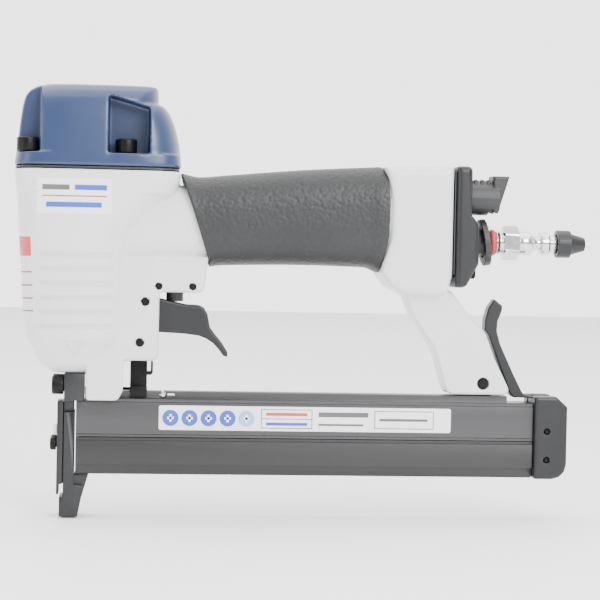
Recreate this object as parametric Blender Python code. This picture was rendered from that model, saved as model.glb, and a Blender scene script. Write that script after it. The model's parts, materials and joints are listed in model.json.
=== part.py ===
"""A pneumatic fine-wire nail gun (stapler form), built as separate pieces.

Lengths are in millimetres here, and the mesh builders turn them into metres. The origin is the nose
tip on the drive axis: Z runs up the drive axis, +X runs back along the magazine and the handle.
"""

import math

import bmesh
import bpy
from mathutils import Matrix, Vector

MM = 0.001
GAP = 0.3

# Barrel and head
SEAM_Z = 137.5
CAP_TOP = 170.3
BARREL_FRONT = 23.0
BARREL_REAR = 22.6
HEAD_REAR = 42.5
HEAD_HALF = 22.5
BARREL_FLOOR = 57.0
SCREW_FRONT_X = -17.6
SCREW_REAR_X = 20.6
SCREW_Y = 14.6
SCREW_SINK = 5.8
CAP_SCREW_HEAD = 4.25
CAP_SCREW_RADIUS = 2.1
CAP_SCREW_LENGTH = 10.0
GASKET = 0.8

# Drive train
SLEEVE_OUTER = 14.2
SLEEVE_WALL = 1.7
SLEEVE_LOW = 70.5
SLEEVE_TOP = 133.0
BUMPER_LOW = 63.3
BUMPER_HEIGHT = 8.4
BUMPER_RADIUS = SLEEVE_OUTER - SLEEVE_WALL - 2.0
PISTON_HEIGHT = 12.0
STROKE = 47.0
BLADE_THICK = 1.3
CROWN = 8.8
HEAD_VALVE_LIFT = 3.0
HEAD_VALVE_RIM = 2.8
VALVE_STEM_RADIUS = 9.0

# Nose
NOSE_FRONT = -2.0
NOSE_BACK = 1.9
NOSE_HALF = 6.2
NOSE_LOW = 5.9
NOSE_BLOCK_Z = 46.0
NOSE_BLOCK_BACK = 5.9
FRONT_PLATE = 2.3
YOKE_THICK = 1.6
SAFETY_TRAVEL = 4.0
NOSE_SCREW_Z = 52.0
NOSE_SCREW_RADIUS = 1.6
PLATE_SCREW_Z = 28.7
PLATE_SCREW_RADIUS = 1.1

# Magazine
MAG_FRONT = 2.8
MAG_REAR = 186.0
MAG_HALF = 9.0
MAG_LOW = 17.0
MAG_STEP = 31.7
MAG_TOP = 47.0
MAG_WALL = 1.6
RIB_TOP = 49.7
RIB_HALF = MAG_HALF - 4.0
HANGER_HALF = 3.0
RAIL_HALF = 3.0
ROD_Z = 22.4
ROD_RADIUS = 1.1
CAP_LENGTH = 13.8
END_CAP_HALF = 11.5
LEVER_HALF = 3.5
LEVER_PIVOT = (MAG_REAR + 4.0, MAG_TOP - 1.8)
LEVER_PIN_RADIUS = 1.25
LEVER_PIN_HALF = 7.7
END_PIN_RADIUS = 1.0
STOP_PIN = (37.0, MAG_TOP + 1.5, 1.0)

# Handle, trigger and inlet
CORE_HALF = 12.4
CORE_FRONT = 15.0
CORE_REAR = 128.0
BLOCK_HALF = 14.0
BLOCK_REAR = 151.4
BLOCK_TOP = 142.0
END_CAP_THICK = 7.3
INLET_Z = 111.8
INLET_RADIUS = 5.3
PLUG_RADIUS = 3.1
DUST_CAP_BORE = 3.9
EXHAUST_Z = 129.6
EXHAUST_RADIUS = 4.0
HANDLE_SCREW = (9.6, 99.4)
HANDLE_SCREW_RADIUS = 1.5
HANDLE_SCREW_HEAD = 2.4
LUG_HALF = 11.0
LUG_BOTTOM = 62.1
LUG_REAR = 34.8
LEG_HALF = 7.5
TRIGGER_HALF = 7.0
TRIGGER_PIVOT = (29.2, 85.6)
VALVE_X = 41.1
VALVE_RADIUS = 5.2
STEM_RADIUS = 1.3

# Cross pins: x, z, radius and half length
GUIDE_PIN = (27.3, LUG_BOTTOM + 7.3, 1.5, LUG_HALF - GAP)
LEG_PIN = (MAG_REAR - 20.3, RIB_TOP + 5.1, 2.2, LEG_HALF - GAP)
CROSS_PINS = {
    "trigger_pin": (*TRIGGER_PIVOT, 1.5, LUG_HALF - GAP),
    "valve_pin_front": (VALVE_X - VALVE_RADIUS - 1.5, 91.8, 1.25, LUG_HALF - 0.7),
    "valve_pin_rear": (VALVE_X + VALVE_RADIUS + 1.5, 91.8, 1.25, LUG_HALF - 0.7),
    "safety_guide_pin": GUIDE_PIN,
    "leg_cross_screw": LEG_PIN,
}

COLOURS = {
    "white_paint": ((0.84, 0.85, 0.86), 0.35, 0.0),
    "blue_paint": ((0.10, 0.15, 0.24), 0.4, 0.0),
    "rubber_grey": ((0.075, 0.078, 0.082), 0.8, 0.0),
    "plastic_grey": ((0.08, 0.083, 0.09), 0.55, 0.0),
    "black_steel": ((0.015, 0.015, 0.015), 0.45, 0.6),
    "nose_steel": ((0.12, 0.122, 0.125), 0.4, 0.8),
    "anodised": ((0.2, 0.2, 0.21), 0.4, 0.8),
    "bright_steel": ((0.65, 0.65, 0.66), 0.25, 1.0),
    "seal_red": ((0.5, 0.04, 0.04), 0.6, 0.0),
    "seal_black": ((0.02, 0.02, 0.02), 0.7, 0.0),
    "aluminium": ((0.7, 0.7, 0.72), 0.35, 1.0),
}


def clear_scene():
    for item in list(bpy.data.objects):
        bpy.data.objects.remove(item, do_unlink=True)


def material(name):
    found = bpy.data.materials.get(name)
    if found:
        return found
    colour, roughness, metallic = COLOURS[name]
    made = bpy.data.materials.new(name)
    made.use_nodes = True
    shader = made.node_tree.nodes["Principled BSDF"]
    shader.inputs["Base Color"].default_value = (*colour, 1.0)
    shader.inputs["Roughness"].default_value = roughness
    shader.inputs["Metallic"].default_value = metallic
    return made


def add(name, shape, finish, origin=(0, 0, 0)):
    """Makes the object of a bmesh, with the object's origin at the given point."""
    bmesh.ops.recalc_face_normals(shape, faces=shape.faces)
    bmesh.ops.translate(shape, verts=shape.verts, vec=-Vector(origin))
    bmesh.ops.scale(shape, verts=shape.verts, vec=(MM, MM, MM))
    mesh = bpy.data.meshes.new(name)
    shape.to_mesh(mesh)
    shape.free()
    mesh.materials.append(material(finish))
    mesh.shade_smooth()
    mesh.set_sharp_from_angle(angle=math.radians(35))
    made = bpy.data.objects.new(name, mesh)
    made.location = Vector(origin) * MM
    bpy.context.scene.collection.objects.link(made)
    return made


def boolean(target, shape, operation):
    helper = add(f"helper_{target.name}_{len(target.modifiers)}", shape, "seal_black")
    helper.hide_render = True
    helper.display_type = "WIRE"
    modifier = target.modifiers.new(f"{operation.lower()}_{len(target.modifiers)}", "BOOLEAN")
    modifier.operation = operation
    modifier.object = helper
    modifier.solver = "EXACT"


def cut(target, *shapes):
    for shape in shapes:
        boolean(target, shape, "DIFFERENCE")


def fuse(target, *shapes):
    for shape in shapes:
        boolean(target, shape, "UNION")


def box(x0, x1, y0, y1, z0, z1):
    shape = bmesh.new()
    bmesh.ops.create_cube(shape, size=1)
    bmesh.ops.scale(shape, verts=shape.verts, vec=(x1 - x0, y1 - y0, z1 - z0))
    middle = ((x0 + x1) / 2, (y0 + y1) / 2, (z0 + z1) / 2)
    bmesh.ops.translate(shape, verts=shape.verts, vec=middle)
    return shape


def fillet(corners, steps=3):
    """Rounds an outline's corners, given as (x, z) or (x, z, radius)."""
    outline = []
    for index, corner in enumerate(corners):
        point = Vector(corner[:2])
        radius = corner[2] if len(corner) > 2 else 0
        if not radius:
            outline.append(tuple(point))
            continue
        before = (Vector(corners[index - 1][:2]) - point).normalized()
        after = (Vector(corners[(index + 1) % len(corners)][:2]) - point).normalized()
        half = before.angle(after) / 2
        centre = point + (before + after).normalized() * (radius / math.sin(half))
        start = point + before * (radius / math.tan(half)) - centre
        end = point + after * (radius / math.tan(half)) - centre
        turn = start.angle_signed(end)
        for step in range(steps + 1):
            angle = -turn * step / steps
            turned_x = start.x * math.cos(angle) - start.y * math.sin(angle)
            turned_z = start.x * math.sin(angle) + start.y * math.cos(angle)
            outline.append((centre.x + turned_x, centre.y + turned_z))
    return outline


def plate(corners, half, soft=0.0, middle=0.0):
    """An (x, z) outline made solid across Y, with its two rims rounded by soft."""
    shape = bmesh.new()
    ring = [shape.verts.new((x, middle - half, z)) for x, z in fillet(corners)]
    face = shape.faces.new(ring)
    sides = bmesh.ops.extrude_face_region(shape, geom=[face])["geom"]
    moved = [item for item in sides if isinstance(item, bmesh.types.BMVert)]
    bmesh.ops.translate(shape, verts=moved, vec=(0, 2 * half, 0))
    if soft:
        rims = [edge for edge in shape.edges if abs(edge.verts[0].co.y - edge.verts[1].co.y) < half]
        bmesh.ops.bevel(shape, geom=rims, offset=soft, segments=2, profile=0.5, affect="EDGES")
    return shape


def turned(profile, axis="Z", centre=(0, 0, 0), sides=24):
    """A closed (along, radius) profile turned about an axis; radius 0 is a point on the axis."""
    shape = bmesh.new()
    rings = []
    for along, radius in profile:
        if radius == 0:
            rings.append([shape.verts.new((0, 0, along))])
            continue
        angles = [2 * math.pi * side / sides for side in range(sides)]
        rings.append([shape.verts.new((radius * math.cos(a), radius * math.sin(a), along)) for a in angles])
    for index, ring in enumerate(rings):
        other = rings[(index + 1) % len(rings)]
        if len(ring) == 1 and len(other) == 1:
            continue
        for side in range(sides):
            follow = (side + 1) % sides
            if len(ring) == 1:
                shape.faces.new((ring[0], other[side], other[follow]))
            elif len(other) == 1:
                shape.faces.new((ring[side], other[0], ring[follow]))
            else:
                shape.faces.new((ring[side], other[side], other[follow], ring[follow]))
    if axis == "X":
        bmesh.ops.rotate(shape, verts=shape.verts, matrix=Matrix.Rotation(math.radians(90), 3, "Y"))
    if axis == "Y":
        bmesh.ops.rotate(shape, verts=shape.verts, matrix=Matrix.Rotation(math.radians(-90), 3, "X"))
    bmesh.ops.translate(shape, verts=shape.verts, vec=centre)
    return shape


def rod(start, end, radius, axis="Z", centre=(0, 0, 0), sides=16):
    return turned([(start, 0), (start, radius), (end, radius), (end, 0)], axis, centre, sides)


def ring(start, end, inner, outer, axis="Z", centre=(0, 0, 0), sides=24):
    profile = [(start, inner), (start, outer), (end, outer), (end, inner)]
    return turned(profile, axis, centre, sides)


def pin(x, z, radius, half):
    return rod(-half, half, radius, "Y", (x, 0, z), 14)


def loft(rings):
    """Closes a stack of rings that hold the same number of points."""
    shape = bmesh.new()
    made = [[shape.verts.new(point) for point in points] for points in rings]
    count = len(made[0])
    for low, high in zip(made, made[1:]):
        for side in range(count):
            follow = (side + 1) % count
            shape.faces.new((low[side], low[follow], high[follow], high[side]))
    shape.faces.new(made[0])
    shape.faces.new(made[-1])
    return shape


def oval(centre_a, centre_b, half_a, half_b, power, count):
    """Points of a rounded rectangle: power 2 is an ellipse, more is squarer."""
    points = []
    for step in range(count):
        angle = 2 * math.pi * step / count
        cosine, sine = math.cos(angle), math.sin(angle)
        reach_a = math.copysign(abs(cosine) ** (2 / power), cosine)
        reach_b = math.copysign(abs(sine) ** (2 / power), sine)
        points.append((centre_a + half_a * reach_a, centre_b + half_b * reach_b))
    return points


def column(levels, power=2.6, count=32):
    """Loft up Z of levels (z, front x, rear x, half width)."""
    rings = []
    for z, front, rear, half in levels:
        flat = oval((front + rear) / 2, 0, (rear - front) / 2, half, power, count)
        rings.append([(x, y, z) for x, y in flat])
    return loft(rings)


def beam(stations, power=2.4, count=24, grow=0.0):
    """Loft along X of stations (x, bottom z, top z, half width), thicker all round by grow."""
    rings = []
    for x, low, high, half in stations:
        flat = oval(0, (low + high) / 2, half + grow, (high - low) / 2 + grow, power, count)
        rings.append([(x, y, z) for y, z in flat])
    return loft(rings)


def coil(radius, wire, start, end, turns, axis="Z", centre=(0, 0, 0), steps=10, sides=5):
    """A spring: a wire of round section wound about an axis, its centre line from start to end."""
    rings = []
    rise = (end - start) / (turns * steps)
    for step in range(turns * steps + 1):
        angle = 2 * math.pi * step / steps
        outward = Vector((math.cos(angle), math.sin(angle), 0))
        along = Vector((-math.sin(angle), math.cos(angle), 0))
        along = (along * radius * 2 * math.pi / steps + Vector((0, 0, rise))).normalized()
        side_way = along.cross(outward)
        middle = outward * radius + Vector((0, 0, start + rise * step))
        points = []
        for side in range(sides):
            turn = 2 * math.pi * side / sides
            points.append(middle + (outward * math.cos(turn) + side_way * math.sin(turn)) * wire)
        rings.append(points)
    shape = loft(rings)
    if axis == "X":
        bmesh.ops.rotate(shape, verts=shape.verts, matrix=Matrix.Rotation(math.radians(90), 3, "Y"))
    bmesh.ops.translate(shape, verts=shape.verts, vec=centre)
    return shape


def screw(name, head, head_radius, length, radius, axis, centre, finish="black_steel"):
    """A socket screw whose head runs from 0 to head, with its shank behind it."""
    way = math.copysign(1, head)
    profile = [
        (-way * length, 0),
        (-way * length, radius),
        (0, radius),
        (0, head_radius),
        (head - way * 0.4, head_radius),
        (head, head_radius - 0.4),
        (head, head_radius * 0.52),
        (head * 0.45, head_radius * 0.52),
        (head * 0.45, 0),
    ]
    return add(name, turned(profile, axis, centre, 12), finish, centre)


def offset_outline(origin, corners):
    """Moves an outline whose corners are given from an origin, such as a pivot."""
    return [(origin[0] + x, origin[1] + z, *radius) for x, z, *radius in corners]


def handle_core(start, end):
    """Stations of the handle's core between two places along X."""
    stations = []
    for x in (CORE_FRONT, 44, 82, 120, CORE_REAR):
        low = 101.2 + 0.028 * (x - CORE_FRONT)
        high = 129.6 + 0.085 * (x - CORE_FRONT)
        if start <= x <= end:
            stations.append((x, low, high, CORE_HALF))
    return stations


def block_front():
    """The curved line along which the white rear block meets the grip, from its top to its bottom."""
    return [(123.2, BLOCK_TOP - 0.9), (125.2, 136.0), (125.9, 127.0), (125.6, 113.0), (122.4, 98.4)]


def barrel():
    """The barrel's casting from its floor up to the flange under the cap."""
    floor, top = BARREL_FLOOR, SEAM_Z - GASKET / 2 - GAP
    levels = [
        (floor, -7.5, 9.0, 8.0),
        (floor + 3.3, -11.9, 15.0, 11.5),
        (floor + 9.3, -15.2, 19.0, 14.2),
        (floor + 15, 5.1 - BARREL_FRONT, BARREL_REAR, HEAD_HALF - 5.9),
        (floor + 47.8, 2.6 - BARREL_FRONT, BARREL_REAR, HEAD_HALF - 3.3),
        (floor + 54, 2.1 - BARREL_FRONT, BARREL_REAR + 1, HEAD_HALF - 2.7),
        (floor + 64, 1.3 - BARREL_FRONT, HEAD_REAR - 10, HEAD_HALF - 1.7),
        (floor + 74, 0.4 - BARREL_FRONT, HEAD_REAR - 0.8, HEAD_HALF - 0.4),
        (top - 0.4, 0.2 - BARREL_FRONT, HEAD_REAR - 0.2, HEAD_HALF - 0.2),
    ]
    flange = [
        (top - 8.8, 1.6 - BARREL_FRONT, HEAD_REAR - 2.5, HEAD_HALF - 2.1),
        (top - 3.3, 0.3 - BARREL_FRONT, HEAD_REAR - 0.2, HEAD_HALF - 0.2),
        (top, -BARREL_FRONT, HEAD_REAR, HEAD_HALF),
    ]
    return column(levels), column(flange, 5.0)


def rear_block_and_leg():
    """The white block behind the grip and the leg that comes down from it to the magazine."""
    block = block_front() + [(BLOCK_REAR - 24.6, 93.0, 2), (BLOCK_REAR - 18.6, 90.0, 2)]
    block += [(BLOCK_REAR - 2.2, 90.0, 3), (BLOCK_REAR, 98.0), (BLOCK_REAR, BLOCK_TOP)]
    leg = [(BLOCK_REAR - 19.2, 92.0), (BLOCK_REAR - 14.9, 81.3), (MAG_REAR - 40.6, 68.7)]
    leg += [(MAG_REAR - 34.9, RIB_TOP + 0.6, 3), (MAG_REAR - 8.4, RIB_TOP + 0.6, 2)]
    leg += [(MAG_REAR - 21.4, 76.0, 3), (BLOCK_REAR + 0.4, 92.0)]
    return plate(block, BLOCK_HALF, 3.0), plate(leg, LEG_HALF, 0.8)


def trigger_housing():
    """The lug in front of the trigger, the block over it and the foot on the magazine."""
    lug = [(2.0, 60.0), (19.5, LUG_BOTTOM + 1), (20.5, LUG_BOTTOM), (LUG_REAR, LUG_BOTTOM, 2.5)]
    lug += [(LUG_REAR, 104.0), (2.0, 104.0)]
    block = [(30.0, 89.4), (VALVE_X + 11.4, 89.4, 2.5), (VALVE_X + 12.9, 104.0), (30.0, 104.0)]
    foot = [(6.5, 46.3, 1), (19.0, 46.3, 2), (21.0, 50.0, 2), (21.0, 64.0), (6.5, 64.0)]
    foot_half = max(LUG_HALF + 0.6, MAG_HALF + GAP + 2.3)
    return plate(lug, LUG_HALF, 1.5), plate(block, LUG_HALF - 0.4, 1.5), plate(foot, foot_half, 0.6)


def housing():
    """The casting: barrel, head flange, handle core, trigger block, front lug, foot and rear leg."""
    column_shape, flange = barrel()
    body = add("main_housing", column_shape, "white_paint")
    fuse(body, flange, beam(handle_core(CORE_FRONT, CORE_REAR)))
    fuse(body, *rear_block_and_leg())
    fuse(body, *trigger_housing())
    bore, pocket = SLEEVE_OUTER + GAP, SLEEVE_OUTER + HEAD_VALVE_RIM + 1.6
    seat, cup = SLEEVE_LOW - GAP, BUMPER_RADIUS + GAP
    hollow = [(BUMPER_LOW - GAP, 0), (BUMPER_LOW - GAP, cup), (seat, cup), (seat, bore)]
    hollow += [(SLEEVE_TOP - 12, bore), (SLEEVE_TOP - 12, pocket), (SEAM_Z + 2, pocket), (SEAM_Z + 2, 0)]
    cut(body, turned(hollow, sides=30))
    cavity = [(8, 105.8, 126.0, 9.4), (60, 106.4, 130.0, 9.4), (BLOCK_REAR + 4, 106.0, 135.6, 9.4)]
    cut(body, beam(cavity, 2.4, 20))
    slot = BLADE_THICK / 2 + GAP
    cut(body, box(-slot, slot, -CROWN / 2 - GAP, CROWN / 2 + GAP, 40, 66))
    rib_room = RIB_TOP + SAFETY_TRAVEL + 1.2
    cut(body, box(0, 30, -MAG_HALF - GAP, MAG_HALF + GAP, MAG_TOP - 3, rib_room))
    cut(body, box(23.2, LUG_REAR - 1.4, -3.2, 3.2, 55, 83))
    cut(body, box(24.0, 60, -TRIGGER_HALF - GAP, TRIGGER_HALF + GAP, 70, 89.3 + GAP))
    cut(body, rod(80, 112, VALVE_RADIUS + GAP, centre=(VALVE_X, 0, 0), sides=24))
    hanger = HANGER_HALF + GAP
    lever_room = LEVER_HALF + 0.8
    cut(body, box(MAG_REAR - 35, MAG_REAR - 13.4, -hanger, hanger, MAG_TOP - 2, RIB_TOP + 11.3))
    cut(body, box(MAG_REAR - 23, MAG_REAR - 1, -lever_room, lever_room, MAG_TOP - 2, 88))
    for x, z, radius, half in CROSS_PINS.values():
        cut(body, pin(x, z, radius + GAP, half + 20))
    for x, y in cap_screw_places():
        cut(body, rod(SEAM_Z - 5, SEAM_Z + 2, CAP_SCREW_RADIUS + 0.4, centre=(x, y, 0), sides=14))


def cap_screw_places():
    return [(x, y) for y in (-SCREW_Y, SCREW_Y) for x in (SCREW_FRONT_X, SCREW_REAR_X)]


def cross_pins():
    for name, (x, z, radius, half) in CROSS_PINS.items():
        add(name, pin(x, z, radius, half), "black_steel", (x, 0, z))


def cap():
    """The blue cap: a flat-topped dome with a lower rear step and four corner recesses."""
    low = SEAM_Z + GASKET / 2 + GAP
    recess = SEAM_Z + SCREW_SINK
    levels = [
        (low, -BARREL_FRONT, 33.3, HEAD_HALF),
        (recess + 4.3, 1.0 - BARREL_FRONT, 33.3, HEAD_HALF - 0.5),
        (CAP_TOP - 13.8, 1.9 - BARREL_FRONT, 33.3, HEAD_HALF - 1.3),
        (CAP_TOP - 6.0, 3.2 - BARREL_FRONT, 33.3, HEAD_HALF - 2.9),
        (CAP_TOP - 2.8, 5.0 - BARREL_FRONT, 33.2, HEAD_HALF - 4.7),
        (CAP_TOP - 0.8, 8.2 - BARREL_FRONT, 33.0, HEAD_HALF - 7.5),
        (CAP_TOP, 10.7 - BARREL_FRONT, 32.7, HEAD_HALF - 9.7),
    ]
    body = add("cylinder_cap", column(levels, 3.2), "blue_paint")
    dome = [
        (low, 0, HEAD_REAR, HEAD_HALF),
        (CAP_TOP - 23.9, 0, HEAD_REAR - 0.6, HEAD_HALF - 0.4),
        (CAP_TOP - 17.8, 1, HEAD_REAR - 1.9, HEAD_HALF - 1.1),
        (CAP_TOP - 12.2, 2, HEAD_REAR - 3.9, HEAD_HALF - 2.1),
        (CAP_TOP - 8.2, 3, HEAD_REAR - 6.4, HEAD_HALF - 3.7),
        (CAP_TOP - 5.8, 4, HEAD_REAR - 10.5, HEAD_HALF - 5.9),
    ]
    flange = [(low + 0.01, -BARREL_FRONT, HEAD_REAR, HEAD_HALF)]
    flange.append((recess, 0.6 - BARREL_FRONT, HEAD_REAR - 0.3, HEAD_HALF - GAP))
    fuse(body, column(dome, 3.0), column(flange, 5.0))
    inner = SCREW_Y - 5.0
    recesses = (
        (-BARREL_FRONT - 8, SCREW_FRONT_X + 5, CAP_TOP + 2),
        (SCREW_REAR_X - 7, SCREW_REAR_X + 9.2, CAP_TOP - 4.3),
    )
    for side in (-1, 1):
        low_y, high_y = sorted((side * inner, side * 30))
        for front, rear, top in recesses:
            cut(body, box(front, rear, low_y, high_y, recess, top))
    for x, y in cap_screw_places():
        cut(body, rod(low - 2, recess + 2, CAP_SCREW_RADIUS + 0.4, centre=(x, y, 0), sides=14))
    wide, lifted = SLEEVE_OUTER + HEAD_VALVE_RIM + 0.4, SLEEVE_TOP + 5.2 + HEAD_VALVE_LIFT
    neck = VALVE_STEM_RADIUS + 0.4
    spring_top = SLEEVE_TOP + 23.0
    chamber = [(low - 2, 0), (low - 2, wide), (lifted, wide), (lifted, neck)]
    chamber += [(spring_top, neck), (spring_top, 0)]
    cut(body, turned(chamber, sides=28))
    cut(body, box(-4, HEAD_REAR - 6.5, -8.0, 8.0, low - 2, CAP_TOP - 16.3))


def gasket():
    low, high = SEAM_Z - GASKET / 2, SEAM_Z + GASKET / 2
    front, rear, half = 0.4 - BARREL_FRONT, HEAD_REAR - 0.5, HEAD_HALF - 0.5
    outline = [(low, front, rear, half), (high, front, rear, half)]
    seal = add("cap_gasket", column(outline, 5.0), "seal_black")
    cut(seal, rod(low - 1, high + 1, SLEEVE_OUTER + HEAD_VALVE_RIM + 1.6))
    for x, y in cap_screw_places():
        cut(seal, rod(low - 1, high + 1, CAP_SCREW_RADIUS + 0.4, centre=(x, y, 0), sides=14))


def cap_screws():
    for number, (x, y) in enumerate(cap_screw_places(), 1):
        spot = (x, y, SEAM_Z + SCREW_SINK + GAP)
        screw(f"cap_screw_{number}", 5.4, CAP_SCREW_HEAD, CAP_SCREW_LENGTH, CAP_SCREW_RADIUS, "Z", spot)


def drive_train():
    """Sleeve, bumper, piston with its ring and blade, and the head valve with its spring."""
    bore = SLEEVE_OUTER - SLEEVE_WALL
    add("cylinder_sleeve", ring(SLEEVE_LOW, SLEEVE_TOP, bore, SLEEVE_OUTER), "aluminium")
    top = BUMPER_LOW + BUMPER_HEIGHT
    hole = CROWN / 2 + 0.8
    add("bumper", ring(BUMPER_LOW, top, hole, BUMPER_RADIUS), "seal_black")
    low = top + GAP + STROKE
    high = low + PISTON_HEIGHT
    outer = bore - 0.4
    piston = [
        (low, 0), (low, bore - 3.5), (low + 2, outer), (low + 6, outer), (low + 6, outer - 1.2),
        (high - 3.4, outer - 1.2), (high - 3.4, outer), (high, outer), (high, bore / 2), (low + 9, bore / 2),
        (low + 9, 0),
    ]
    add("piston", turned(piston), "aluminium", (0, 0, low))
    add("piston_ring", ring(low + 6.2, high - 3.6, outer - 1.0, bore - 0.1), "seal_black", (0, 0, low))
    half = BLADE_THICK / 2
    blade = box(-half, half, -CROWN / 2, CROWN / 2, STROKE + GAP, low - GAP)
    add("driver_blade", blade, "bright_steel", (0, 0, low))
    seat = SLEEVE_TOP + GAP
    rim = SLEEVE_OUTER + HEAD_VALVE_RIM
    neck = VALVE_STEM_RADIUS
    valve = [(seat, bore - 3), (seat, SLEEVE_OUTER), (seat + 1.0, rim - 1), (seat + 3.4, SLEEVE_OUTER + 0.4)]
    valve += [(seat + 3.4, neck), (seat + 8.4, neck), (seat + 8.4, neck - 3), (seat + 2.0, neck - 3)]
    add("head_valve", turned(valve), "seal_black", (0, 0, seat))
    spring_top = SLEEVE_TOP + 22.2
    spring = coil(neck - 1.6, 0.5, seat + 9.4, spring_top, 4)
    add("head_valve_spring", spring, "bright_steel", (0, 0, spring_top))


def trigger_group():
    """The trigger, and the valve that it pushes on: a body, a stem and a spring."""
    pivot_radius = CROSS_PINS["trigger_pin"][2]
    outline = offset_outline(TRIGGER_PIVOT, [
        (-4.4, -1.5, 2), (2.0, -5.2), (2.4, -12.0, 1.5), (15.4, -12.6), (21.4, -13.3), (24.4, -14.4),
        (27.4, -16.3), (29.7, -18.8), (31.6, -21.3), (33.2, -21.6), (33.0, -19.4), (30.6, -15.7),
        (27.9, -12.5), (25.9, -9.8), (24.9, -4.7), (23.5, -2.2), (22.0, -1.3), (16.7, -1.1), (6.2, 1.2),
        (2.0, 3.2, 1.5), (-4.4, 3.2, 2),
    ])
    pivot = (TRIGGER_PIVOT[0], 0, TRIGGER_PIVOT[1])
    lever = add("trigger", plate(outline, TRIGGER_HALF, 0.8), "plastic_grey", pivot)
    cut(lever, box(34.0, 50.5, 2.4 - TRIGGER_HALF, TRIGGER_HALF - 2.4, 78.0, 95))
    cut(lever, pin(*TRIGGER_PIVOT, pivot_radius + GAP, TRIGGER_HALF + 10))
    low, high = 85.8, 104.0
    stem_low, stem_high = 78.4, 96.0
    hole = STEM_RADIUS + GAP
    room = VALVE_RADIUS - 1.6
    body = [
        (low, hole), (low, VALVE_RADIUS - 1.75), (low + 4.2, VALVE_RADIUS - 1.75), (low + 4.2, VALVE_RADIUS),
        (high, VALVE_RADIUS), (high, room), (low + 6.2, room), (low + 6.2, hole),
    ]
    centre = (VALVE_X, 0, 0)
    add("trigger_valve_body", turned(body, centre=centre, sides=22), "seal_black")
    stem = [(stem_low, 0), (stem_low, STEM_RADIUS), (low + 7.0, STEM_RADIUS), (low + 7.0, room - 0.4)]
    stem += [(stem_high, room - 0.4), (stem_high, 0)]
    add("trigger_valve_stem", turned(stem, centre=centre, sides=16), "bright_steel", (VALVE_X, 0, stem_low))
    spring = coil(room - 1.4, 0.35, stem_high + 0.9, high - 0.8, 4, centre=centre, steps=8, sides=4)
    add("trigger_valve_spring", spring, "bright_steel", (VALVE_X, 0, high - 0.8))


def safety_group():
    """The contact yoke at the nose tip and the link bar that runs back to the trigger."""
    outer = NOSE_HALF + GAP + YOKE_THICK
    inner = NOSE_HALF + GAP
    back = NOSE_BACK + GAP
    side = [(-3.4, 0.0, 0.5), (3.9, 0.0, 0.5), (5.2, 6.8), (6.3, 12.2), (back, 12.6), (back, 41.4)]
    side += [(-1.9, 41.4), (-1.9, 7.7), (-3.4, 7.7)]
    yoke = add("safety_yoke", plate(side, outer, 0.3), "nose_steel")
    cut(yoke, box(NOSE_FRONT - 0.2, 9.0, -inner, inner, 1.5, 50))
    slot = BLADE_THICK / 2 + GAP
    cut(yoke, box(-slot, slot, -CROWN / 2 - GAP, CROWN / 2 + GAP, -1, 3))
    pin_x, pin_z, pin_radius, _ = GUIDE_PIN
    front, rear = pin_x - 3.4, pin_x + 3.3
    top = pin_z + 4.6
    link = add("safety_link", box(front, rear, -1.5, 1.5, 50.4, top), "black_steel")
    rail_y = MAG_HALF - 1.1
    fuse(link, box(front, rear, 2.3 - MAG_HALF, rail_y + 0.1, 50.0, 51.8))
    fuse(link, box(6.0, rear - 0.1, rail_y - 1.5, rail_y, 47.5, 50.6))
    fuse(link, box(front + 0.1, rear - 0.1, 2.3 - MAG_HALF, 3.7 - MAG_HALF, 47.5, 51.0))
    hook = [(29.0, 56.2), (32.2, 56.2), (32.9, 57.2), (32.9, 61.5), (32.1, 61.5), (32.1, 57.6), (29.0, 57.6)]
    fuse(link, plate(hook, 2.6))
    reach = pin_radius + GAP
    cut(link, box(pin_x - reach, pin_x + reach, -5, 5, pin_z - reach - SAFETY_TRAVEL, pin_z + reach))
    spring_low, spring_high = top + 0.8, top + 6.2
    spring = coil(1.9, 0.35, spring_low, spring_high, 3, centre=(26.2, 0, 0), steps=8, sides=4)
    add("safety_spring", spring, "bright_steel", (26.2, 0, spring_high))


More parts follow.
